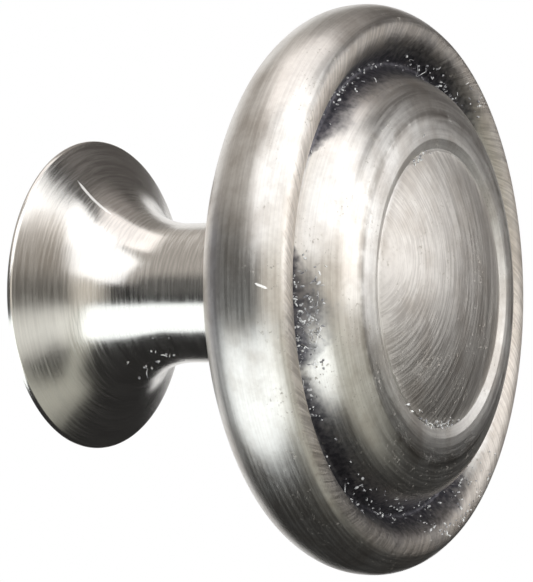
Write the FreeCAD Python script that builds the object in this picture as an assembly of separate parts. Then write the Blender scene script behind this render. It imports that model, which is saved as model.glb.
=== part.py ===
import FreeCAD, Part
import math
import os

# Cabinet knob: a round moulded head on a short stem that flares to a trumpet foot.
# One zinc die-casting, round about one axis, with a blind screw hole up the foot.
# Millimetres and degrees. The foot seats on the plane Y = 0, and the head faces -Y.
# Heights are measured out from the seat, and widths across the face go inwards.

# Main sizes
head_radius = 15.875
projection = 23.93
foot_radius = 9.25
stem_radius = 4.09

# Foot: a thin edge, then a low cone that runs into one long hollow curve up to the stem
foot_edge_height = 0.2
foot_edge_round = 0.25
flare_height = 3.12
flare_round = 6.2

# Head: a conical back that meets the stem in a fillet, and a round outer bead
back_slope = 18.0
back_round = 2.0
bead_round = 3.15
bead_side_height = 3.49
bead_side_round = 2.6
bead_front_slope = 48.2
bead_front_width = 1.005
bead_front_round = 0.9
bead_crest_width = 1.07
bead_crest_rise = 0.05
bead_crest_round = 1.3

# Face: the bead's inner slope down to a narrow groove
inner_slope_width = 1.35
inner_slope_drop = 1.38
groove_round = 0.3

# Face: up out of the groove to a broad rounded shoulder
groove_wall_width = 1.2
groove_wall_rise = 2.246
shoulder_round = 2.5
shoulder_width = 1.7
shoulder_rise = 0.65
cove_round = 0.6

# Face: a nearly flat ring with a low step down to the middle field, which is a low crown
ring_width = 1.3
ring_rise = 0.15
ring_round = 0.25
ring_lip_width = 0.55
ring_lip_drop = 0.17
crown_rise = 1.1

# Hole for a #8-32 UNC machine screw, at its tapping drill's size
tapping_drill_radius = 1.727
hole_depth = 14.3
drill_point_angle = 118.0

same_point = 1e-6


def slope(degrees):
    """Rise over run of a line at this angle to the seat."""
    return math.tan(math.radians(degrees))


def face_corners():
    """The face from the head's widest line in to the edge of the middle field."""
    steps = [
        (bead_front_width, bead_front_width * slope(bead_front_slope), bead_front_round),
        (bead_crest_width, bead_crest_rise, bead_crest_round),
        (inner_slope_width, -inner_slope_drop, groove_round),
        (groove_wall_width, groove_wall_rise, shoulder_round),
        (shoulder_width, shoulder_rise, cove_round),
        (ring_width, ring_rise, ring_round),
        (ring_lip_width, -ring_lip_drop, 0),
    ]
    radius = head_radius
    height = projection - crown_rise - sum(rise for width, rise, rounding in steps)
    corners = [(radius, height, bead_side_round)]
    for width, rise, rounding in steps:
        radius -= width
        height += rise
        corners.append((radius, height, rounding))
    return corners


def crown_corners(field_radius):
    """The middle field as one arc whose centre lies on the axis."""
    chord_squared = field_radius ** 2 + crown_rise ** 2
    crown_round = chord_squared / (2 * crown_rise)
    return [
        (chord_squared / (2 * field_radius), projection, crown_round),
        (0, projection, 0),
    ]


def back_corners(widest_height):
    """The back of the head, tangent to the bead, from the stem out to the widest line."""
    low = widest_height - bead_side_height
    at_stem = low - (head_radius - stem_radius) * slope(back_slope)
    return [
        (stem_radius, at_stem, back_round),
        (head_radius, low, bead_round),
    ]


def foot_corners():
    """The foot's edge, and the hollow flare up to the stem."""
    return [
        (foot_radius, 0, 0),
        (foot_radius, foot_edge_height, foot_edge_round),
        (stem_radius, flare_height, flare_round),
    ]


def hole_corners():
    """The blind hole, from its drill point on the axis down to the seat."""
    point_height = tapping_drill_radius / slope(drill_point_angle / 2)
    return [
        (0, hole_depth + point_height, 0),
        (tapping_drill_radius, hole_depth, 0),
        (tapping_drill_radius, 0, 0),
    ]


def rounded_edges(corners):
    """Lines and tangent arcs through corners of (radius, height, rounding).

    A rounding gives way where the straight sides beside it are too short for it.
    """
    points = [FreeCAD.Vector(radius, -height, 0) for radius, height, rounding in corners]
    tangents = [0.0] * len(corners)
    reaches = [0.0] * len(corners)
    for index in range(1, len(corners) - 1):
        before = points[index - 1] - points[index]
        after = points[index + 1] - points[index]
        tangents[index] = math.tan(before.getAngle(after) / 2)
        reaches[index] = corners[index][2] / tangents[index]
    for index in range(len(corners) - 1):
        length = (points[index + 1] - points[index]).Length
        wanted = reaches[index] + reaches[index + 1]
        if wanted > length:
            reaches[index] *= length / wanted
            reaches[index + 1] *= length / wanted

    edges = []
    start = points[0]
    for index in range(1, len(corners) - 1):
        corner = points[index]
        before = (points[index - 1] - corner).normalize()
        after = (points[index + 1] - corner).normalize()
        into = corner + before * reaches[index]
        if (into - start).Length > same_point:
            edges.append(Part.LineSegment(start, into).toShape())
            start = into
        if reaches[index] > 0:
            rounding = reaches[index] * tangents[index]
            to_centre = math.hypot(reaches[index], rounding)
            middle = corner + (before + after).normalize() * (to_centre - rounding)
            end = corner + after * reaches[index]
            edges.append(Part.Arc(start, middle, end).toShape())
            start = end
    if (points[-1] - start).Length > same_point:
        edges.append(Part.LineSegment(start, points[-1]).toShape())
        start = points[-1]
    edges.append(Part.LineSegment(start, points[0]).toShape())
    return edges


def knob():
    """The half section turned once round the axis."""
    face = face_corners()
    widest_height = face[0][1]
    field_radius = face[-1][0]
    corners = hole_corners() + foot_corners() + back_corners(widest_height)
    corners += face + crown_corners(field_radius)
    half_section = Part.Face(Part.Wire(rounded_edges(corners)))
    return half_section.revolve(FreeCAD.Vector(0, 0, 0), FreeCAD.Vector(0, 1, 0), 360)


os.makedirs("parts", exist_ok=True)
shape = knob()
shape.exportStep("parts/knob.step")
print("knob valid", shape.isValid(), "solids", len(shape.Solids), "faces", len(shape.Faces))
print("volume mm3", round(shape.Volume, 1))
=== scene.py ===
import math

import bmesh
import bpy
from mathutils import Matrix, Vector


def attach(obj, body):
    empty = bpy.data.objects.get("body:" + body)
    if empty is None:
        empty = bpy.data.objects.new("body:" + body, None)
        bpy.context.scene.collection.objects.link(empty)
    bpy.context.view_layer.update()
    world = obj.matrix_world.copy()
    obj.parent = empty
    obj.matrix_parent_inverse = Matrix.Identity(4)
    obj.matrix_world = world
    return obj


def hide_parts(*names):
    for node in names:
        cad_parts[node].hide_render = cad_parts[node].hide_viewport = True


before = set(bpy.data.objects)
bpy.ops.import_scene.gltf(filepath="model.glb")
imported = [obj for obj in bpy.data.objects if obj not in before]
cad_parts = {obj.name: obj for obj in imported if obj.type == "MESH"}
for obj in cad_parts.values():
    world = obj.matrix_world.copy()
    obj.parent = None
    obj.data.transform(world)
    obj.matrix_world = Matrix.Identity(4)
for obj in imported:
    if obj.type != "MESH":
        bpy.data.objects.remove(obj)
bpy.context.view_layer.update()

# A satin nickel cabinet knob: one zinc die-casting, nickel plated, then brushed round its axis.
# Lengths in this script are millimetres unless a name says otherwise, and meshes are in metres.
MM = 0.001

# Outline of the casting, as in the part's source
HEAD_RADIUS = 15.875
PROJECTION = 23.93
FOOT_RADIUS = 9.25
STEM_RADIUS = 4.09
FOOT_EDGE_HEIGHT = 0.2
FOOT_EDGE_ROUND = 0.25
FLARE_HEIGHT = 3.12
FLARE_ROUND = 6.2
BACK_SLOPE = 18.0
BACK_ROUND = 2.0
BEAD_ROUND = 3.15
BEAD_SIDE_HEIGHT = 3.49
BEAD_SIDE_ROUND = 2.6
BEAD_FRONT_SLOPE = 48.2
BEAD_FRONT_WIDTH = 1.005
BEAD_FRONT_ROUND = 0.9
BEAD_CREST_WIDTH = 1.07
BEAD_CREST_RISE = 0.05
BEAD_CREST_ROUND = 1.3
INNER_SLOPE_WIDTH = 1.35
INNER_SLOPE_DROP = 1.38
GROOVE_ROUND = 0.3
GROOVE_WALL_WIDTH = 1.2
GROOVE_WALL_RISE = 2.246
SHOULDER_ROUND = 2.5
SHOULDER_WIDTH = 1.7
SHOULDER_RISE = 0.65
COVE_ROUND = 0.6
RING_WIDTH = 1.3
RING_RISE = 0.15
RING_ROUND = 0.25
RING_LIP_WIDTH = 0.55
RING_LIP_DROP = 0.17
CROWN_RISE = 1.1
TAPPING_DRILL_RADIUS = 1.727
HOLE_DEPTH = 14.3
DRILL_POINT_ANGLE = 118.0

# The #8-32 UNC thread in the hole
THREAD_MAJOR_RADIUS = 2.083
THREAD_PITCH = 0.794
THREAD_LENGTH = 12.7
THREAD_FADE = 1.6

# The duller finish of the head sets in between these heights up the stem
HEAD_STARTS = (11.0, 13.5)

# The middle of the face, from its rim's radius inwards, and the point that its strokes swing about.
# Near that point the strokes fade to a faint grain
MIDDLE_FADE = (7.7, 7.4)
MIDDLE_HEIGHT = 20.0
SWING_CENTRE = (-8.2, 0.0, 1.6)
SWING_FADE = (1.2, 4.0)

# Circles round the axis, as radius and height: the bottom of the groove, the crest of the bead, the
# crease at the inner edge of the shoulder and the step down to the middle
GROOVE = (12.45, 20.05)
CREST = (14.0, 21.3)
CREASE = (9.55, 22.8)
STEP = (8.0, 22.93)

# How far from its circle a finish begins, and where it is full; at the crease it is a painted shade
CREST_FADE = (1.05, 0.5)
CREASE_SHADE_FADE = (0.4, 0.05)
STEP_FADE = (1.0, 0.3)

# Spacing of the patterns in the plate: its fine grain, its mottle, the flecks, the patches that the
# flecks lie in, and the waves of the hand polish with their depth
GRAIN = 0.3
MOTTLE = 2.6
FLECK = 0.17
FLECK_PATCH = 1.7
POLISH_WAVE = 4.0
POLISH_DEPTH = 0.04

# Brush strokes: their length at this radius, their spacing and their depth. The real ones are a tenth
# as far apart, which is too fine to show
STROKE_RADIUS = 8.0
STROKE_LENGTH = 3.5
STROKE_SPACING = 0.14
STROKE_DEPTH = 0.003

# Strokes across the crest, and how far they turn round the axis for each millimetre, in radians
CREST_STROKE_LENGTH = 2.2
CREST_STROKE_SPACING = 0.17
CREST_STROKE_DEPTH = 0.013
SLANT = 0.07

FOOT_ROUGHNESS = 0.22

# Dark toner that the brush didn't reach, in the groove, and painted shade where the patches spread it
# further up the walls: angle round the axis from +X towards +Z, half its spread and the fade of its
# ends in degrees, and how far it goes up the walls. Its ends wander with the mottle, and it is full
# this many degrees inside them
TONER_REACH = 0.3
TONER_AND_SHADE_WANDER = 20.0
TONER_AND_SHADE_FULL = 10
TONER_AND_SHADE_PATCHES = [
    (88, 40, 20, 2.0),
    (-106, 42, 22, 2.1),
    (-173, 9, 11, 2.5),
    (133, 6, 12, 1.7),
]

# Nicks, painted near white as a highlight along each scratch: where they start and end, as radius,
# height and angle, and half their width
NICKS_WITH_GLINTS = {
    "on_the_flare": ((7.66, 0.92, 119.9), (5.33, 2.85, 122.1), 0.1),
    "on_the_bead": ((15.70, 20.11, 179.6), (15.40, 20.67, 180.6), 0.065),
}

# Lint and crumbs of polishing compound: radius, height and reach across, middle angle and half its
# spread, and how many crumbs and fibres
LINT_PLACES = {
    "groove_all_round": (12.4, 20.0, 0.4, 0, 180, 90, 8),
    "groove_upper_right": (12.8, 20.4, 0.5, 65, 28, 60, 26),
    "bead_right": (13.9, 21.1, 0.5, 54, 9, 14, 0),
    "groove_upper_left": (12.3, 20.2, 0.5, 124, 16, 26, 3),
    "groove_left": (12.0, 20.7, 0.9, -173, 16, 190, 8),
    "groove_lower_left": (12.4, 20.2, 0.5, -154, 15, 60, 3),
    "groove_below": (12.2, 20.4, 0.9, -108, 38, 60, 5),
    "bead_lower_right": (13.6, 20.9, 0.9, -66, 24, 80, 0),
    "field_lower_edge": (7.5, 22.85, 0.22, -102, 36, 36, 2),
    "field_upper_edge": (7.55, 22.85, 0.18, 108, 12, 14, 3),
    "under_the_stem": (4.3, 5.5, 1.6, -115, 30, 16, 2),
}
CRUMB_SIZE = 0.08
FIBRE_LENGTH = 0.8
FIBRE_RADIUS = 0.024
LINT_PATCH = 0.4

# How finely the outline is turned: steps round the axis, degrees a step along an arc, the longest
# step, steps a pitch in the thread, and the angle from which an edge is sharp
TURN_STEPS = 256
ARC_STEP = 3.0
LONGEST_STEP = 0.35
THREAD_STEPS_PER_PITCH = 6
SHARP_EDGE = 25.0

# Two places this close are the same
SAME_PLACE = 1e-6

# The photograph's camera: its size in pixels, and what was fitted to the outline of head and foot
PHOTO_HEIGHT = 582
FOCAL_PIXELS = 2191.9
SENSOR_MM = 36.0
CAMERA_AZIMUTH = -59.75
CAMERA_ELEVATION = -0.99
CAMERA_ROLL = -0.48
CAMERA_DISTANCE = 126.43
CAMERA_TARGET = (0.0, -11.64, 0.03)

WHITE = (1, 1, 1, 1)
SOFT_ENDS = {"interpolation_type": "SMOOTHSTEP"}


def linear(hex_colour):
    """An sRGB hex colour as linear RGBA."""
    channels = [int(hex_colour[i:i + 2], 16) / 255 for i in (1, 3, 5)]
    return [c / 12.92 if c <= 0.04045 else ((c + 0.055) / 1.055) ** 2.4 for c in channels] + [1.0]


def slope(degrees):
    return math.tan(math.radians(degrees))


# Shape of the knob


def outline_corners():
    """Corners (radius, height, rounding) from the drill point round to the middle of the face."""
    steps = [
        (BEAD_FRONT_WIDTH, BEAD_FRONT_WIDTH * slope(BEAD_FRONT_SLOPE), BEAD_FRONT_ROUND),
        (BEAD_CREST_WIDTH, BEAD_CREST_RISE, BEAD_CREST_ROUND),
        (INNER_SLOPE_WIDTH, -INNER_SLOPE_DROP, GROOVE_ROUND),
        (GROOVE_WALL_WIDTH, GROOVE_WALL_RISE, SHOULDER_ROUND),
        (SHOULDER_WIDTH, SHOULDER_RISE, COVE_ROUND),
        (RING_WIDTH, RING_RISE, RING_ROUND),
        (RING_LIP_WIDTH, -RING_LIP_DROP, 0),
    ]
    radius = HEAD_RADIUS
    height = PROJECTION - CROWN_RISE - sum(rise for _, rise, _ in steps)
    face = [(radius, height, BEAD_SIDE_ROUND)]
    for width, rise, rounding in steps:
        radius -= width
        height += rise
        face.append((radius, height, rounding))
    low = face[0][1] - BEAD_SIDE_HEIGHT
    at_stem = low - (HEAD_RADIUS - STEM_RADIUS) * slope(BACK_SLOPE)
    chord = radius ** 2 + CROWN_RISE ** 2
    return [
        (0, HOLE_DEPTH + TAPPING_DRILL_RADIUS / slope(DRILL_POINT_ANGLE / 2), 0),
        (TAPPING_DRILL_RADIUS, HOLE_DEPTH, 0),
        (TAPPING_DRILL_RADIUS, 0, 0),
        (FOOT_RADIUS, 0, 0),
        (FOOT_RADIUS, FOOT_EDGE_HEIGHT, FOOT_EDGE_ROUND),
        (STEM_RADIUS, FLARE_HEIGHT, FLARE_ROUND),
        (STEM_RADIUS, at_stem, BACK_ROUND),
        (HEAD_RADIUS, low, BEAD_ROUND),
    ] + face + [
        (chord / (2 * radius), PROJECTION, chord / (2 * CROWN_RISE)),
        (0, PROJECTION, 0),
    ]


def straight(start, end, longest):
    """Points from start to end, without the start."""
    count = max(1, math.ceil((end - start).length / longest))
    return [start.lerp(end, i / count) for i in range(1, count + 1)]


def outline():
    """The outline as (radius, height) points, with its arcs in even steps."""
    corners = outline_corners()
    spots = [Vector((radius, height)) for radius, height, _ in corners]
    points = [spots[0]]
    for index in range(1, len(corners) - 1):
        corner = spots[index]
        rounding = corners[index][2]
        into = (corner - spots[index - 1]).normalized()
        out = (spots[index + 1] - corner).normalized()
        turn = math.atan2(into.cross(out), into.dot(out))
        reach = rounding * math.tan(abs(turn) / 2)
        start = corner - into * reach
        in_hole = index == 2
        longest = THREAD_PITCH / THREAD_STEPS_PER_PITCH if in_hole else LONGEST_STEP * 2
        if (start - points[-1]).length > 1e-3:
            points += straight(points[-1], start, longest)
        if rounding:
            side = math.copysign(1, turn)
            centre = start + Vector((-into.y, into.x)) * rounding * side
            arc_length = rounding * abs(turn)
            count = math.ceil(max(abs(math.degrees(turn)) / ARC_STEP, arc_length / LONGEST_STEP, 4))
            for i in range(1, count + 1):
                spoke = (start - centre).copy()
                spoke.rotate(Matrix.Rotation(turn * i / count, 2))
                points.append(centre + spoke)
    points[-1] = spots[-1]
    return points


def thread_radius(height, turn):
    """The hole's wall: a 60 degree thread that runs in and out at its ends."""
    along = height / THREAD_PITCH - turn
    flank = 1 - abs(2 * (along - math.floor(along)) - 1)
    fade = min(1, height / THREAD_FADE, max(0, (THREAD_LENGTH - height) / THREAD_FADE))
    deep = THREAD_MAJOR_RADIUS - TAPPING_DRILL_RADIUS
    return TAPPING_DRILL_RADIUS + deep * flank * max(0, fade)


def turned_mesh(name):
    """The outline turned about the axis, with its ends closed and a UV map that follows the turning."""
    points = outline()
    lengths = [0.0]
    for before, after in zip(points, points[1:]):
        lengths.append(lengths[-1] + (after - before).length)
    mesh = bmesh.new()
    along = mesh.loops.layers.uv.new("turning")
    rows = []
    hole_end = next(i for i, p in enumerate(points) if abs(p.y) < SAME_PLACE)
    for i, point in enumerate(points):
        if point.x < SAME_PLACE:
            rows.append([mesh.verts.new((0, -point.y * MM, 0))])
            continue
        ring = []
        for j in range(TURN_STEPS):
            angle = 2 * math.pi * j / TURN_STEPS
            radius = point.x
            if i <= hole_end and abs(point.x - TAPPING_DRILL_RADIUS) < SAME_PLACE:
                radius = thread_radius(point.y, j / TURN_STEPS)
            ring.append(mesh.verts.new((
                radius * math.cos(angle) * MM, -point.y * MM, radius * math.sin(angle) * MM)))
        rows.append(ring)
    for i in range(len(rows) - 1):
        low, high = rows[i], rows[i + 1]
        for j in range(TURN_STEPS):
            k = (j + 1) % TURN_STEPS
            if len(low) == 1:
                corners = [(low[0], j + 0.5, i), (high[j], j, i + 1), (high[k], j + 1, i + 1)]
            elif len(high) == 1:
                corners = [(low[j], j, i), (high[0], j + 0.5, i + 1), (low[k], j + 1, i)]
            else:
                corners = [
                    (low[j], j, i), (high[j], j, i + 1), (high[k], j + 1, i + 1), (low[k], j + 1, i)]
            face = mesh.faces.new([corner[0] for corner in corners])
            face.smooth = True
            for loop, (_, column, row) in zip(face.loops, corners):
                loop[along].uv = (column / TURN_STEPS, lengths[row] / lengths[-1])
    bmesh.ops.recalc_face_normals(mesh, faces=mesh.faces)
    for edge in mesh.edges:
        if len(edge.link_faces) == 2 and edge.calc_face_angle(0) > math.radians(SHARP_EDGE):
            edge.smooth = False
    data = bpy.data.meshes.new(name)
    mesh.to_mesh(data)
    mesh.free()

    def place_along(radius=None, height=None):
        """How far along the outline a place on it is, or the whole length of the outline."""
        if radius is None:
            return lengths[-1]
        spot = Vector((radius, height))
        return min(zip(points, lengths), key=lambda pair: (pair[0] - spot).length)[1]

    return data, place_along


# Finish


def add(tree, kind, *inputs, out=0, **settings):
    """Adds a node, makes its settings, and sets or links its inputs, given in their order or as a
    dictionary by number or name. Gives one of its outputs, or all of them for out="all"."""
    node = tree.nodes.new(kind)
    for key, value in settings.items():
        setattr(node, key, value)
    by_socket = inputs[0] if inputs and isinstance(inputs[0], dict) else dict(enumerate(inputs))
    for socket, value in by_socket.items():
        if isinstance(value, bpy.types.NodeSocket):
            tree.links.new(value, node.inputs[socket])
        else:
            node.inputs[socket].default_value = value
    return node.outputs[out] if node.outputs and out != "all" else node.outputs


def new_material(name):
    material = bpy.data.materials.new(name)
    material.use_nodes = True
    material.node_tree.nodes.clear()
    return material, material.node_tree


def in_scene(name, data):
    thing = bpy.data.objects.new(name, data)
    bpy.context.scene.collection.objects.link(thing)
    return thing


def satin_nickel(place_along):
    """Satin nickel plate on cast zinc, antiqued with a dark toner and brushed back by hand. The foot
    and stem are brushed fine round the axis and keep sharp lights. The head is duller: the strokes
    cross the bead's crest on a slant and swing in arcs over the middle of the face, the plate is
    mottled grey and brown where it was rubbed thin, and the toner stays dark in the groove, with
    painted shade where it spreads up the walls. Painted shade also darkens the crease at the inner
    edge of the shoulder, and the nicks are painted near white as a highlight."""
    material, tree = new_material("satin_brushed_nickel_plate")
    place = add(tree, "ShaderNodeTexCoord", out="Object")
    in_mm = add(tree, "ShaderNodeVectorMath", {0: place, 3: 1 / MM}, operation="SCALE")
    x, y, z = add(tree, "ShaderNodeSeparateXYZ", in_mm, out="all")
    height = add(tree, "ShaderNodeMath", y, -1.0, operation="MULTIPLY")
    from_axis = add(tree, "ShaderNodeCombineXYZ", {0: x, 2: z})
    spoke = add(tree, "ShaderNodeVectorMath", from_axis, operation="NORMALIZE")
    radius = add(tree, "ShaderNodeVectorMath", from_axis, out="Value", operation="LENGTH")
    turn = add(tree, "ShaderNodeMath", z, x, operation="ARCTAN2")
    angle = add(tree, "ShaderNodeMath", turn, operation="DEGREES")
    uv = add(tree, "ShaderNodeUVMap", uv_map="turning")
    share_along = add(tree, "ShaderNodeSeparateXYZ", uv, out=1)
    along = add(tree, "ShaderNodeMath", share_along, place_along(), operation="MULTIPLY")

    def off_angle(middle):
        """Degrees round the axis from this angle, either way."""
        off = add(tree, "ShaderNodeMath", angle, middle, operation="SUBTRACT")
        return add(tree, "ShaderNodeMath", off, -180.0, 180.0, operation="WRAP")

    # Grain and mottle of the plate
    fine = add(tree, "ShaderNodeTexNoise", {"Vector": in_mm, "Scale": 1 / GRAIN, "Detail": 3.0})
    mottle = add(tree, "ShaderNodeTexNoise", {
        "Vector": in_mm, "Scale": 1 / MOTTLE, "Detail": 4.0, "Roughness": 0.6})
    fine_swing = add(tree, "ShaderNodeMath", fine, 0.5, operation="SUBTRACT")
    mottle_swing = add(tree, "ShaderNodeMath", mottle, 0.5, operation="SUBTRACT")

    # Parts of the surface, by how far each point is from the circles that bound them
    in_section = add(tree, "ShaderNodeCombineXYZ", radius, height)
    from_groove, from_crest, from_crease, from_step = (
        add(tree, "ShaderNodeVectorMath", in_section, (*circle, 0.0), out="Value", operation="DISTANCE")
        for circle in (GROOVE, CREST, CREASE, STEP))
    on_head = add(tree, "ShaderNodeMapRange", height, *HEAD_STARTS, **SOFT_ENDS)
    on_face = add(tree, "ShaderNodeMath", height, MIDDLE_HEIGHT, operation="GREATER_THAN")
    uneven_radius = add(tree, "ShaderNodeMath", fine_swing, 0.3, radius, operation="MULTIPLY_ADD")
    in_ring = add(tree, "ShaderNodeMapRange", uneven_radius, *MIDDLE_FADE, **SOFT_ENDS)
    in_middle = add(tree, "ShaderNodeMath", in_ring, on_face, operation="MULTIPLY")
    uneven_crest = add(tree, "ShaderNodeMath", fine_swing, 0.7, from_crest, operation="MULTIPLY_ADD")
    on_crest = add(tree, "ShaderNodeMapRange", uneven_crest, *CREST_FADE, **SOFT_ENDS)
    on_step = add(tree, "ShaderNodeMapRange", from_step, *STEP_FADE, **SOFT_ENDS)
    # Painted shade in the crease at the inner edge of the shoulder, broken up by the mottle
    near_crease = add(tree, "ShaderNodeMapRange", from_crease, *CREASE_SHADE_FADE, **SOFT_ENDS)
    darker_mottle = add(tree, "ShaderNodeMapRange", mottle, 0.35, 0.6, **SOFT_ENDS)
    painted_shade_in_crease = add(tree, "ShaderNodeMath", near_crease, darker_mottle, operation="MULTIPLY")

    # Pale flecks of dried polish, in patches and thickest on the face
    grain = add(tree, "ShaderNodeTexNoise", {"Vector": in_mm, "Scale": 1 / FLECK, "Detail": 2.0})
    patches = add(tree, "ShaderNodeTexNoise", {"Vector": in_mm, "Scale": 1 / FLECK_PATCH, "Detail": 3.0})
    flecks = on_head
    for value, low, high, start in (
        (grain, 0.6, 0.72, 0.0),
        (patches, 0.42, 0.62, 0.0),
        (height, 19.0, 21.0, 0.25),
    ):
        share = add(tree, "ShaderNodeMapRange", value, low, high, start, 1.0, **SOFT_ENDS)
        flecks = add(tree, "ShaderNodeMath", flecks, share, operation="MULTIPLY")

    # Dark toner all round the groove, and painted shade where the patches spread it further up the walls
    reach = TONER_REACH
    wander = add(tree, "ShaderNodeMath", mottle_swing, TONER_AND_SHADE_WANDER, operation="MULTIPLY")
    for middle, half, fade, far in TONER_AND_SHADE_PATCHES:
        off = add(tree, "ShaderNodeMath", off_angle(middle), operation="ABSOLUTE")
        off = add(tree, "ShaderNodeMath", off, wander, operation="ADD")
        patch = add(tree, "ShaderNodeMapRange", off, half + fade, half - TONER_AND_SHADE_FULL, 0.0, far, **SOFT_ENDS)
        reach = add(tree, "ShaderNodeMath", patch, reach, operation="MAXIMUM")
    worn = add(tree, "ShaderNodeMath", fine, 0.5, operation="MULTIPLY")
    worn = add(tree, "ShaderNodeMath", mottle, 0.9, worn, operation="MULTIPLY_ADD")
    toner_and_shade_off = add(tree, "ShaderNodeMath", from_groove, reach, operation="DIVIDE")
    toner_and_shade_off = add(tree, "ShaderNodeMath", toner_and_shade_off, worn, operation="ADD")
    toner_and_shade = add(tree, "ShaderNodeMapRange", toner_and_shade_off, 2.05, 0.9, **SOFT_ENDS)

    # Strokes: round the axis, in arcs over the middle, and on a slant across the crest
    in_arcs = add(tree, "ShaderNodeMath", in_middle, 0.5, operation="GREATER_THAN")
    swing = add(tree, "ShaderNodeVectorMath", {0: SWING_CENTRE, 3: in_arcs}, operation="SCALE")
    arm = add(tree, "ShaderNodeVectorMath", from_axis, swing, operation="SUBTRACT")
    arm_length = add(tree, "ShaderNodeVectorMath", arm, out="Value", operation="LENGTH")
    around = add(tree, "ShaderNodeVectorMath", arm, operation="NORMALIZE")
    across = add(tree, "ShaderNodeMix", {0: in_arcs, 2: along, 3: arm_length})
    lean = add(tree, "ShaderNodeMath", along, SLANT, operation="MULTIPLY")
    slant = add(tree, "ShaderNodeVectorRotate", {"Vector": spoke, "Angle": lean}, rotation_type="Y_AXIS")

    def strokes(direction, turn_scale, step_across):
        """Noise drawn out in strokes: its scale round the axis and its scale across the turning."""
        turned = add(tree, "ShaderNodeVectorMath", {0: direction, 3: turn_scale}, operation="SCALE")
        turned_x, _, turned_z = add(tree, "ShaderNodeSeparateXYZ", turned, out="all")
        step = add(tree, "ShaderNodeMath", across, step_across, operation="MULTIPLY")
        where = add(tree, "ShaderNodeCombineXYZ", turned_x, step, turned_z)
        return add(tree, "ShaderNodeTexNoise", {
            "Vector": where, "Scale": 1.0, "Detail": 3.0, "Roughness": 0.6})

    long_strokes = strokes(around, STROKE_RADIUS / STROKE_LENGTH, 1 / STROKE_SPACING)
    slanted_strokes = strokes(slant, CREST[0] / CREST_STROKE_SPACING, 1 / CREST_STROKE_LENGTH)
    faint_grain = add(tree, "ShaderNodeMapRange", fine, 0.0, 1.0, 0.4, 0.6, **SOFT_ENDS)
    far_from_swing = add(tree, "ShaderNodeMapRange", arm_length, *SWING_FADE, **SOFT_ENDS)
    stroke = add(tree, "ShaderNodeMix", {0: far_from_swing, 2: faint_grain, 3: long_strokes})
    stroke = add(tree, "ShaderNodeMix", {0: on_crest, 2: stroke, 3: slanted_strokes})

    # Nicks, painted near white and less metallic: a painted highlight along each scratch
    nicks_with_painted_glint = 0.0
    for (radius_1, height_1, angle_1), (radius_2, height_2, angle_2), half_width in NICKS_WITH_GLINTS.values():
        start, end = place_along(radius_1, height_1), place_along(radius_2, height_2)
        half = abs(end - start) / 2
        from_middle = add(tree, "ShaderNodeMath", along, (start + end) / 2, operation="SUBTRACT")
        turned = (angle_2 - angle_1) / (end - start)
        lean = add(tree, "ShaderNodeMath", from_middle, turned, operation="MULTIPLY")
        aside = add(tree, "ShaderNodeMath", off_angle((angle_1 + angle_2) / 2), lean, operation="SUBTRACT")
        aside = add(tree, "ShaderNodeMath", aside, operation="ABSOLUTE")
        aside = add(tree, "ShaderNodeMath", aside, operation="RADIANS")
        aside = add(tree, "ShaderNodeMath", aside, radius, operation="MULTIPLY")
        from_middle = add(tree, "ShaderNodeMath", from_middle, operation="ABSOLUTE")
        width = add(tree, "ShaderNodeMapRange", from_middle, half, half * 0.6, **SOFT_ENDS)
        width = add(tree, "ShaderNodeMath", width, half_width, operation="MULTIPLY")
        one_nick_with_glint = add(tree, "ShaderNodeMath", aside, width, operation="LESS_THAN")
        nicks_with_painted_glint = add(tree, "ShaderNodeMath", one_nick_with_glint, nicks_with_painted_glint, operation="MAXIMUM")

    # Colour, from the clean plate upwards: where each layer lies, how strong it is, and its colour
    rubbed = add(tree, "ShaderNodeMapRange", mottle, 0.42, 0.68, 0.0, 0.4, **SOFT_ENDS)
    dusty = add(tree, "ShaderNodeMapRange", fine, 0.4, 0.62, 0.0, 0.08, **SOFT_ENDS)
    in_strokes = add(tree, "ShaderNodeMapRange", stroke, 0.6, 0.4, 0.0, 0.15, **SOFT_ENDS)
    in_arc_strokes = add(tree, "ShaderNodeMapRange", stroke, 0.58, 0.41, 0.0, 0.36, **SOFT_ENDS)
    in_crest_strokes = add(tree, "ShaderNodeMapRange", stroke, 0.6, 0.4, 0.0, 0.4, **SOFT_ENDS)
    in_strokes = add(tree, "ShaderNodeMix", {0: in_middle, 2: in_strokes, 3: in_arc_strokes})
    in_strokes = add(tree, "ShaderNodeMix", {0: on_crest, 2: in_strokes, 3: in_crest_strokes})
    toner_and_shade_tone = add(tree, "ShaderNodeMapRange", fine, 0.35, 0.65, **SOFT_ENDS)
    toner_and_shade_colour = add(tree, "ShaderNodeMix", {
        0: toner_and_shade_tone, 6: linear("#525157"), 7: linear("#6f6c71")}, out=2, data_type="RGBA")
    colour = linear("#ece8e2")
    for layer, strength, tone in (
        (rubbed, on_head, linear("#a6998b")),
        (on_crest, 0.45, linear("#c5b7a8")),
        (in_middle, 0.34, linear("#a69c92")),
        (in_strokes, 1.0, linear("#877e77")),
        (dusty, on_head, linear("#8a8077")),
        # painted shade in the crease
        (painted_shade_in_crease, 0.55, linear("#6e655c")),
        # dark toner, and painted shade where it spreads up the walls
        (toner_and_shade, 1.0, toner_and_shade_colour),
        (flecks, 0.6, linear("#b9b3aa")),
        # nicks with their painted highlight
        (nicks_with_painted_glint, 1.0, linear("#f5f3ee")),
    ):
        share = add(tree, "ShaderNodeMath", layer, strength, operation="MULTIPLY")
        colour = add(tree, "ShaderNodeMix", {0: share, 6: colour, 7: tone}, out=2, data_type="RGBA")

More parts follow.
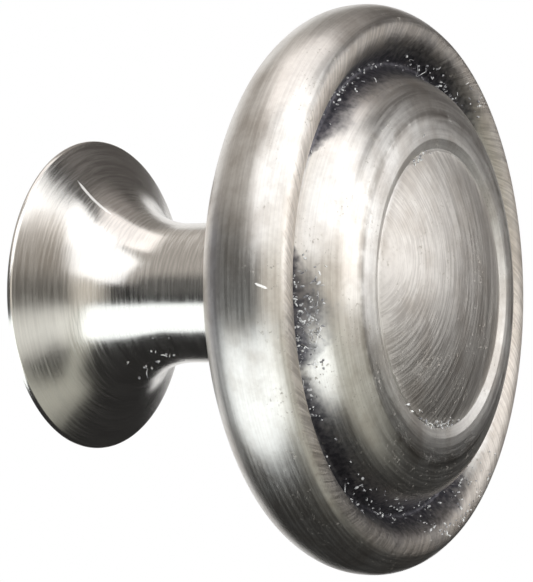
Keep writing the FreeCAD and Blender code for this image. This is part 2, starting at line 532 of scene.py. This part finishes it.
    # Gloss: the foot and stem are the smoothest, and the rest gets duller in these places
    rough = FOOT_ROUGHNESS
    for layer, duller in (
        (on_head, 0.32),
        (on_crest, 0.46),
        (in_middle, 0.36),
        (on_step, 0.45),
        (toner_and_shade, 0.42),
        (flecks, 0.75),
    ):
        rough = add(tree, "ShaderNodeMix", {0: layer, 2: rough, 3: duller})
    stroke_gloss = add(tree, "ShaderNodeMapRange", stroke, 0.35, 0.65, -0.03, 0.04, **SOFT_ENDS)
    rough = add(tree, "ShaderNodeMath", rough, stroke_gloss, operation="ADD")

    # Depth of the strokes and of the uneven hand polish, in millimetres
    stroke_depth = add(tree, "ShaderNodeMix", {0: on_crest, 2: STROKE_DEPTH, 3: CREST_STROKE_DEPTH})
    depth = add(tree, "ShaderNodeMath", stroke, stroke_depth, operation="MULTIPLY")
    polish = add(tree, "ShaderNodeTexNoise", {"Vector": in_mm, "Scale": 1 / POLISH_WAVE, "Detail": 2.0})
    depth = add(tree, "ShaderNodeMath", polish, POLISH_DEPTH, depth, operation="MULTIPLY_ADD")
    bump = add(tree, "ShaderNodeBump", {"Height": depth, "Strength": 1.0, "Distance": MM})
    tangent = add(tree, "ShaderNodeVectorMath", (0.0, 1.0, 0.0), arm, operation="CROSS_PRODUCT")
    tangent = add(tree, "ShaderNodeVectorTransform", tangent, vector_type="VECTOR",
                  convert_from="OBJECT", convert_to="WORLD")
    # The nicks' painted highlight is also less metallic
    metallic = add(tree, "ShaderNodeMapRange", nicks_with_painted_glint, 0.0, 1.0, 1.0, 0.3, **SOFT_ENDS)
    surface = add(tree, "ShaderNodeBsdfPrincipled", {
        "Base Color": colour, "Metallic": metallic, "Roughness": rough,
        "Anisotropic": 0.5, "Anisotropic Rotation": 0.25, "Tangent": tangent, "Normal": bump,
    })
    add(tree, "ShaderNodeOutputMaterial", {"Surface": surface})
    return material


def finished_knob():
    data, place_along = turned_mesh("knob_finish")
    data.materials.append(satin_nickel(place_along))
    piece = in_scene("knob_finish", data)
    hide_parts("knob")
    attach(piece, "root")
    return piece


# Lint and crumbs


def cotton_lint():
    """Cotton lint and dry crumbs of polishing compound: matt, off white to grey, with no shine."""
    material, tree = new_material("cotton_lint_and_polishing_crumbs")
    place = add(tree, "ShaderNodeTexCoord", out="Object")
    patches = add(tree, "ShaderNodeTexNoise", {
        "Vector": place, "Scale": 1 / (LINT_PATCH * MM), "Detail": 1.0})
    share = add(tree, "ShaderNodeMapRange", patches, 0.4, 0.6)
    colour = add(tree, "ShaderNodeMix", {
        0: share, 6: linear("#7a797b"), 7: linear("#d6d6d3")}, out=2, data_type="RGBA")
    surface = add(tree, "ShaderNodeBsdfPrincipled", {"Base Color": colour, "Roughness": 0.9})
    add(tree, "ShaderNodeOutputMaterial", {"Surface": surface})
    return material


def lint_tree(material):
    """Geometry Nodes: crumbs and fibres scattered along an arc round the axis, on the given surface."""
    tree = bpy.data.node_groups.new("lint_along_an_arc", "GeometryNodeTree")
    face = tree.interface
    face.new_socket("Surface", in_out="INPUT", socket_type="NodeSocketGeometry")
    measures = ("Radius", "Height", "Reach", "Angle", "Spread", "Crumb Size", "Fibre Length", "Fibre Radius")
    for name in measures:
        face.new_socket(name, in_out="INPUT", socket_type="NodeSocketFloat")
    for name in ("Crumbs", "Fibres", "Seed"):
        face.new_socket(name, in_out="INPUT", socket_type="NodeSocketInt")
    face.new_socket("Lint", in_out="OUTPUT", socket_type="NodeSocketGeometry")
    given = add(tree, "NodeGroupInput", out="all")

    def strewn(piece, count, first_seed, least, most):
        """Copies of the piece on the surface, thickest in the middle of the arc, each turned at random
        and between these scales."""
        seeds = [add(tree, "ShaderNodeMath", given["Seed"], first_seed + i, operation="ADD")
                 for i in (0, 1, 2, 3, 5, 6)]
        turn_1, turn_2, aside, lift = (
            add(tree, "FunctionNodeRandomValue", {2: -off, 3: off, 8: seed}, out=1, data_type="FLOAT")
            for off, seed in zip((0.5, 0.5, 1.0, 1.0), seeds))
        turn = add(tree, "ShaderNodeMath", turn_1, turn_2, operation="ADD")
        turn = add(tree, "ShaderNodeMath", turn, given["Spread"], given["Angle"], operation="MULTIPLY_ADD")
        turn = add(tree, "ShaderNodeMath", turn, operation="RADIANS")
        cosine = add(tree, "ShaderNodeMath", turn, operation="COSINE")
        sine = add(tree, "ShaderNodeMath", turn, operation="SINE")
        out = add(tree, "ShaderNodeMath", aside, given["Reach"], given["Radius"], operation="MULTIPLY_ADD")
        out = add(tree, "ShaderNodeMath", out, MM, operation="MULTIPLY")
        x = add(tree, "ShaderNodeMath", out, cosine, operation="MULTIPLY")
        z = add(tree, "ShaderNodeMath", out, sine, operation="MULTIPLY")
        y = add(tree, "ShaderNodeMath", lift, given["Reach"], given["Height"], operation="MULTIPLY_ADD")
        y = add(tree, "ShaderNodeMath", y, -MM, operation="MULTIPLY")
        spot = add(tree, "ShaderNodeCombineXYZ", x, y, z)
        points = add(tree, "GeometryNodePoints", {"Count": count, "Position": spot})
        nearest = add(tree, "GeometryNodeProximity", given["Surface"], target_element="FACES")
        points = add(tree, "GeometryNodeSetPosition", {"Geometry": points, "Position": nearest})
        turned = add(tree, "FunctionNodeRandomValue", {
            0: (0.0, 0.0, 0.0), 1: (math.tau, math.tau, math.tau), 8: seeds[4]}, data_type="FLOAT_VECTOR")
        scaled = add(tree, "FunctionNodeRandomValue", {
            0: least, 1: most, 8: seeds[5]}, data_type="FLOAT_VECTOR")
        return add(tree, "GeometryNodeInstanceOnPoints", {
            "Points": points, "Instance": piece, "Rotation": turned, "Scale": scaled})

    crumb_size = add(tree, "ShaderNodeMath", given["Crumb Size"], MM, operation="MULTIPLY")
    crumb = add(tree, "GeometryNodeMeshIcoSphere", {"Radius": crumb_size, "Subdivisions": 1})
    length = add(tree, "ShaderNodeMath", given["Fibre Length"], MM, operation="MULTIPLY")
    bend = add(tree, "ShaderNodeVectorMath", {0: (0.4, 0.3, 0.1), 3: length}, operation="SCALE")
    tip = add(tree, "ShaderNodeVectorMath", {0: (1.0, 0.0, 0.0), 3: length}, operation="SCALE")
    hair = add(tree, "GeometryNodeCurveQuadraticBezier", {
        "Resolution": 5, "Start": (0, 0, 0), "Middle": bend, "End": tip})
    hair_radius = add(tree, "ShaderNodeMath", given["Fibre Radius"], MM, operation="MULTIPLY")
    section = add(tree, "GeometryNodeCurvePrimitiveCircle", {"Resolution": 4, "Radius": hair_radius})
    fibre = add(tree, "GeometryNodeCurveToMesh", {
        "Curve": hair, "Profile Curve": section, "Fill Caps": True})
    crumbs = strewn(crumb, given["Crumbs"], 0, (0.2, 0.2, 0.3), (1.2, 1.1, 2.4))
    fibres = strewn(fibre, given["Fibres"], 10, (0.5, 1.0, 1.0), (1.2, 1.0, 1.0))
    both = add(tree, "GeometryNodeJoinGeometry", crumbs)
    tree.links.new(fibres, both.node.inputs[0])
    real = add(tree, "GeometryNodeRealizeInstances", both)
    finished = add(tree, "GeometryNodeSetMaterial", {"Geometry": real, "Material": material})
    add(tree, "NodeGroupOutput", finished)
    return tree


def lint(knob):
    material = cotton_lint()
    tree = lint_tree(material)
    sockets = {item.name: item.identifier for item in tree.interface.items_tree if item.in_out == "INPUT"}
    gathered = bmesh.new()
    for seed, (radius, height, reach, angle, spread, crumbs, fibres) in enumerate(LINT_PLACES.values()):
        carrier = in_scene("carrier", knob.data)
        modifier = carrier.modifiers.new("lint", "NODES")
        modifier.node_group = tree
        values = {
            "Radius": radius, "Height": height, "Reach": reach,
            "Angle": float(angle), "Spread": float(spread),
            "Crumb Size": CRUMB_SIZE, "Fibre Length": FIBRE_LENGTH, "Fibre Radius": FIBRE_RADIUS,
            "Crumbs": crumbs, "Fibres": fibres, "Seed": 100 * (seed + 1),
        }
        for name, value in values.items():
            modifier[sockets[name]] = value
        ready = carrier.evaluated_get(bpy.context.evaluated_depsgraph_get())
        part = bpy.data.meshes.new_from_object(ready)
        gathered.from_mesh(part)
        bpy.data.objects.remove(carrier)
        bpy.data.meshes.remove(part)
    data = bpy.data.meshes.new("lint_and_crumbs")
    gathered.to_mesh(data)
    gathered.free()
    data.materials.clear()
    data.materials.append(material)
    piece = in_scene("lint_and_crumbs", data)
    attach(piece, "root")


# Studio: azimuths are from the photograph's camera, and plus is its right

# In metres: how far down the floor is, half its side, and between which distances it turns white
FLOOR_DEPTH = 0.52
FLOOR_SIZE = 6.0
FLOOR_FADE = (0.3, 1.2)

# In metres: the tent's radius, the lamps' distance and the point that they face
TENT_RADIUS = 0.5
LAMP_DISTANCE = 0.3
KNOB_MIDDLE = Vector((0, -PROJECTION / 2 * MM, 0))

# How strongly the white surroundings light the knob
FILL_STRENGTH = 0.7

# Soft lamps: azimuth, elevation, width and height in degrees, radiance, colour
SOFT_LAMPS = {
    "upper_soft_box": (20, 42, 88, 52, 1.5, "#fafcff"),
    "right_soft_box": (88, 12, 54, 26, 1.8, "#fafcff"),
    "lower_soft_box": (-38, -40, 124, 48, 1.5, "#f5fcff"),
    "overhead_soft_box": (-19, 87, 51, 40, 1.15, "#fffcfc"),
}

# What the cloth of the tent shows between the lamps: azimuth, elevation, width, height, strength, colour
TENT_SHADES = {
    "left_side_above": (-90, 45, 130, 62, 0.42, "#fff9f2"),
    "lower_right": (53, -25, 80, 42, 0.52, "#fefff3"),
    "beside_the_camera": (38, 3, 84, 28, 0.7, "#fff9ee"),
    "right_side": (140, 25, 90, 50, 0.09, "#fff7f2"),
    "right_side_high": (140, 60, 90, 28, 0.3, "#fff7f2"),
    "behind": (-178, 45, 40, 60, 0.25, "#fff9f2"),
    "behind_above": (-146, 50, 46, 46, 0.45, "#fff9f2"),
    "left_of_the_camera": (-70, 10, 60, 26, 0.12, "#fffffc"),
    "left_behind": (-118, 0, 30, 30, 0.26, "#ecf0ff"),
    "right_side_above": (60, 39, 42, 25, 0.4, "#fffffe"),
}

# What the rest of the cloth shows, half the soft edge of a shade in degrees, and the opening:
# azimuth, elevation and half its width
TENT_DARK = 0.025
TENT_EDGE = 8.0
OPENING = (-163, 5, 35)


def towards(azimuth, elevation):
    a = math.radians(CAMERA_AZIMUTH + azimuth)
    e = math.radians(elevation)
    return Vector((math.sin(a) * math.cos(e), -math.cos(a) * math.cos(e), math.sin(e)))


def soft_lamp(name, azimuth, elevation, width, height, radiance, colour):
    """A rectangular lamp that spans these degrees from the knob."""
    direction = towards(azimuth, elevation)
    light = bpy.data.lights.new(name, "AREA")
    light.shape = "RECTANGLE"
    light.size = 2 * LAMP_DISTANCE * slope(width / 2)
    light.size_y = 2 * LAMP_DISTANCE * slope(height / 2)
    light.energy = math.pi * radiance * light.size * light.size_y
    light.color = linear(colour)[:3]
    lamp = in_scene(name, light)
    lamp.location = KNOB_MIDDLE + direction * LAMP_DISTANCE
    lamp.rotation_euler = direction.to_track_quat("Z", "Y").to_euler()
    lamp.visible_camera = False


def seen_directly(tree):
    """1 for what the camera, metal and glass see, and 0 for light that falls on things."""
    path = add(tree, "ShaderNodeLightPath", out="all")
    seen = add(tree, "ShaderNodeMath", path["Is Camera Ray"], path["Is Glossy Ray"], operation="MAXIMUM")
    return add(tree, "ShaderNodeMath", seen, path["Is Transmission Ray"], operation="MAXIMUM")


def white_surroundings():
    world = bpy.data.worlds.new("white_surroundings")
    bpy.context.scene.world = world
    world.use_nodes = True
    tree = world.node_tree
    tree.nodes.clear()
    white = add(tree, "ShaderNodeBackground", {"Color": WHITE, "Strength": 1.0})
    fill = add(tree, "ShaderNodeBackground", {"Color": WHITE, "Strength": FILL_STRENGTH})
    mixed = add(tree, "ShaderNodeMixShader", seen_directly(tree), fill, white)
    add(tree, "ShaderNodeOutputWorld", {"Surface": mixed})


def pale_floor():
    """A plain pale floor that turns white far out, where it meets the white surroundings."""
    data = bpy.data.meshes.new("floor")
    mesh = bmesh.new()
    bmesh.ops.create_grid(mesh, x_segments=1, y_segments=1, size=FLOOR_SIZE)
    bmesh.ops.translate(mesh, verts=mesh.verts, vec=(0, 0, -FLOOR_DEPTH))
    mesh.to_mesh(data)
    mesh.free()
    material, tree = new_material("pale_matt_floor")
    place = add(tree, "ShaderNodeTexCoord", out="Object")
    flat = add(tree, "ShaderNodeVectorMath", place, (1, 1, 0), operation="MULTIPLY")
    away = add(tree, "ShaderNodeVectorMath", flat, out="Value", operation="LENGTH")
    fade = add(tree, "ShaderNodeMapRange", away, *FLOOR_FADE, **SOFT_ENDS)
    paint = add(tree, "ShaderNodeBsdfDiffuse", {"Color": linear("#ececec")})
    white = add(tree, "ShaderNodeEmission", {"Color": WHITE, "Strength": 1.0})
    share = add(tree, "ShaderNodeMath", fade, seen_directly(tree), operation="MULTIPLY")
    mixed = add(tree, "ShaderNodeMixShader", share, paint, white)
    add(tree, "ShaderNodeOutputMaterial", {"Surface": mixed})
    data.materials.append(material)
    in_scene("floor", data)


def tent_cloth():
    """Cloth of the tent: dark, with softly edged lighter parts where light comes through."""
    material, tree = new_material("tent_cloth")
    place = add(tree, "ShaderNodeTexCoord", out="Object")
    turned = add(tree, "ShaderNodeVectorRotate", {
        "Vector": place, "Angle": -math.radians(CAMERA_AZIMUTH)}, rotation_type="Z_AXIS")
    direction = add(tree, "ShaderNodeVectorMath", turned, operation="NORMALIZE")
    x, y, z = add(tree, "ShaderNodeSeparateXYZ", direction, out="all")
    forward = add(tree, "ShaderNodeMath", y, -1.0, operation="MULTIPLY")
    azimuth = add(tree, "ShaderNodeMath", x, forward, operation="ARCTAN2")
    azimuth = add(tree, "ShaderNodeMath", azimuth, operation="DEGREES")
    elevation = add(tree, "ShaderNodeMath", z, operation="ARCSINE")
    elevation = add(tree, "ShaderNodeMath", elevation, operation="DEGREES")
    shade = (TENT_DARK, TENT_DARK, TENT_DARK, 1)
    for azimuth_middle, elevation_middle, width, height, strength, colour in TENT_SHADES.values():
        off = add(tree, "ShaderNodeMath", azimuth, azimuth_middle, operation="SUBTRACT")
        off = add(tree, "ShaderNodeMath", off, -180.0, 180.0, operation="WRAP")
        up = add(tree, "ShaderNodeMath", elevation, elevation_middle, operation="SUBTRACT")
        share = 1.0
        for value, size in ((off, width), (up, height)):
            away = add(tree, "ShaderNodeMath", value, operation="ABSOLUTE")
            edges = (size / 2 + TENT_EDGE, size / 2 - TENT_EDGE)
            near = add(tree, "ShaderNodeMapRange", away, *edges, **SOFT_ENDS)
            share = add(tree, "ShaderNodeMath", near, share, operation="MULTIPLY")
        bright = [c * strength for c in linear(colour)[:3]] + [1.0]
        shade = add(tree, "ShaderNodeMix", {0: share, 6: shade, 7: bright}, out=2, data_type="RGBA")
    cloth = add(tree, "ShaderNodeEmission", {"Color": shade, "Strength": 1.0})
    add(tree, "ShaderNodeOutputMaterial", {"Surface": cloth})
    return material


def tent():
    """A tent of dark cloth round the knob, with an opening to the white behind it. Only metal sees it."""
    data = bpy.data.meshes.new("tent")
    mesh = bmesh.new()
    bmesh.ops.create_uvsphere(mesh, u_segments=72, v_segments=36, radius=TENT_RADIUS)
    azimuth, elevation, half_width = OPENING
    opening = towards(azimuth, elevation)
    edge = math.cos(math.radians(half_width))
    gone = [f for f in mesh.faces if f.calc_center_median().normalized().dot(opening) > edge]
    bmesh.ops.delete(mesh, geom=gone, context="FACES")
    mesh.to_mesh(data)
    mesh.free()
    data.materials.append(tent_cloth())
    walls = in_scene("tent", data)
    walls.visible_camera = False
    walls.visible_diffuse = False
    walls.visible_shadow = False
    walls.visible_transmission = False


def studio():
    white_surroundings()
    pale_floor()
    tent()
    for name, lamp in SOFT_LAMPS.items():
        soft_lamp(name, *lamp)


def photograph_camera():
    back = towards(0, CAMERA_ELEVATION)
    azimuth = math.radians(CAMERA_AZIMUTH)
    roll = math.radians(CAMERA_ROLL)
    right = Vector((math.cos(azimuth), math.sin(azimuth), 0))
    up = back.cross(right)
    rolled_right = math.cos(roll) * right + math.sin(roll) * up
    rolled_up = math.cos(roll) * up - math.sin(roll) * right
    data = bpy.data.cameras.new("camera")
    data.sensor_width = SENSOR_MM
    data.lens = FOCAL_PIXELS * SENSOR_MM / PHOTO_HEIGHT
    data.clip_start = 0.005
    data.clip_end = 20.0
    turned = Matrix((rolled_right, rolled_up, back)).transposed().to_4x4()
    turned.translation = (Vector(CAMERA_TARGET) + back * CAMERA_DISTANCE) * MM
    camera = in_scene("camera", data)
    camera.matrix_world = turned
    bpy.context.scene.camera = camera


lint(finished_knob())
studio()
photograph_camera()
bpy.context.scene.view_settings.view_transform = "Standard"
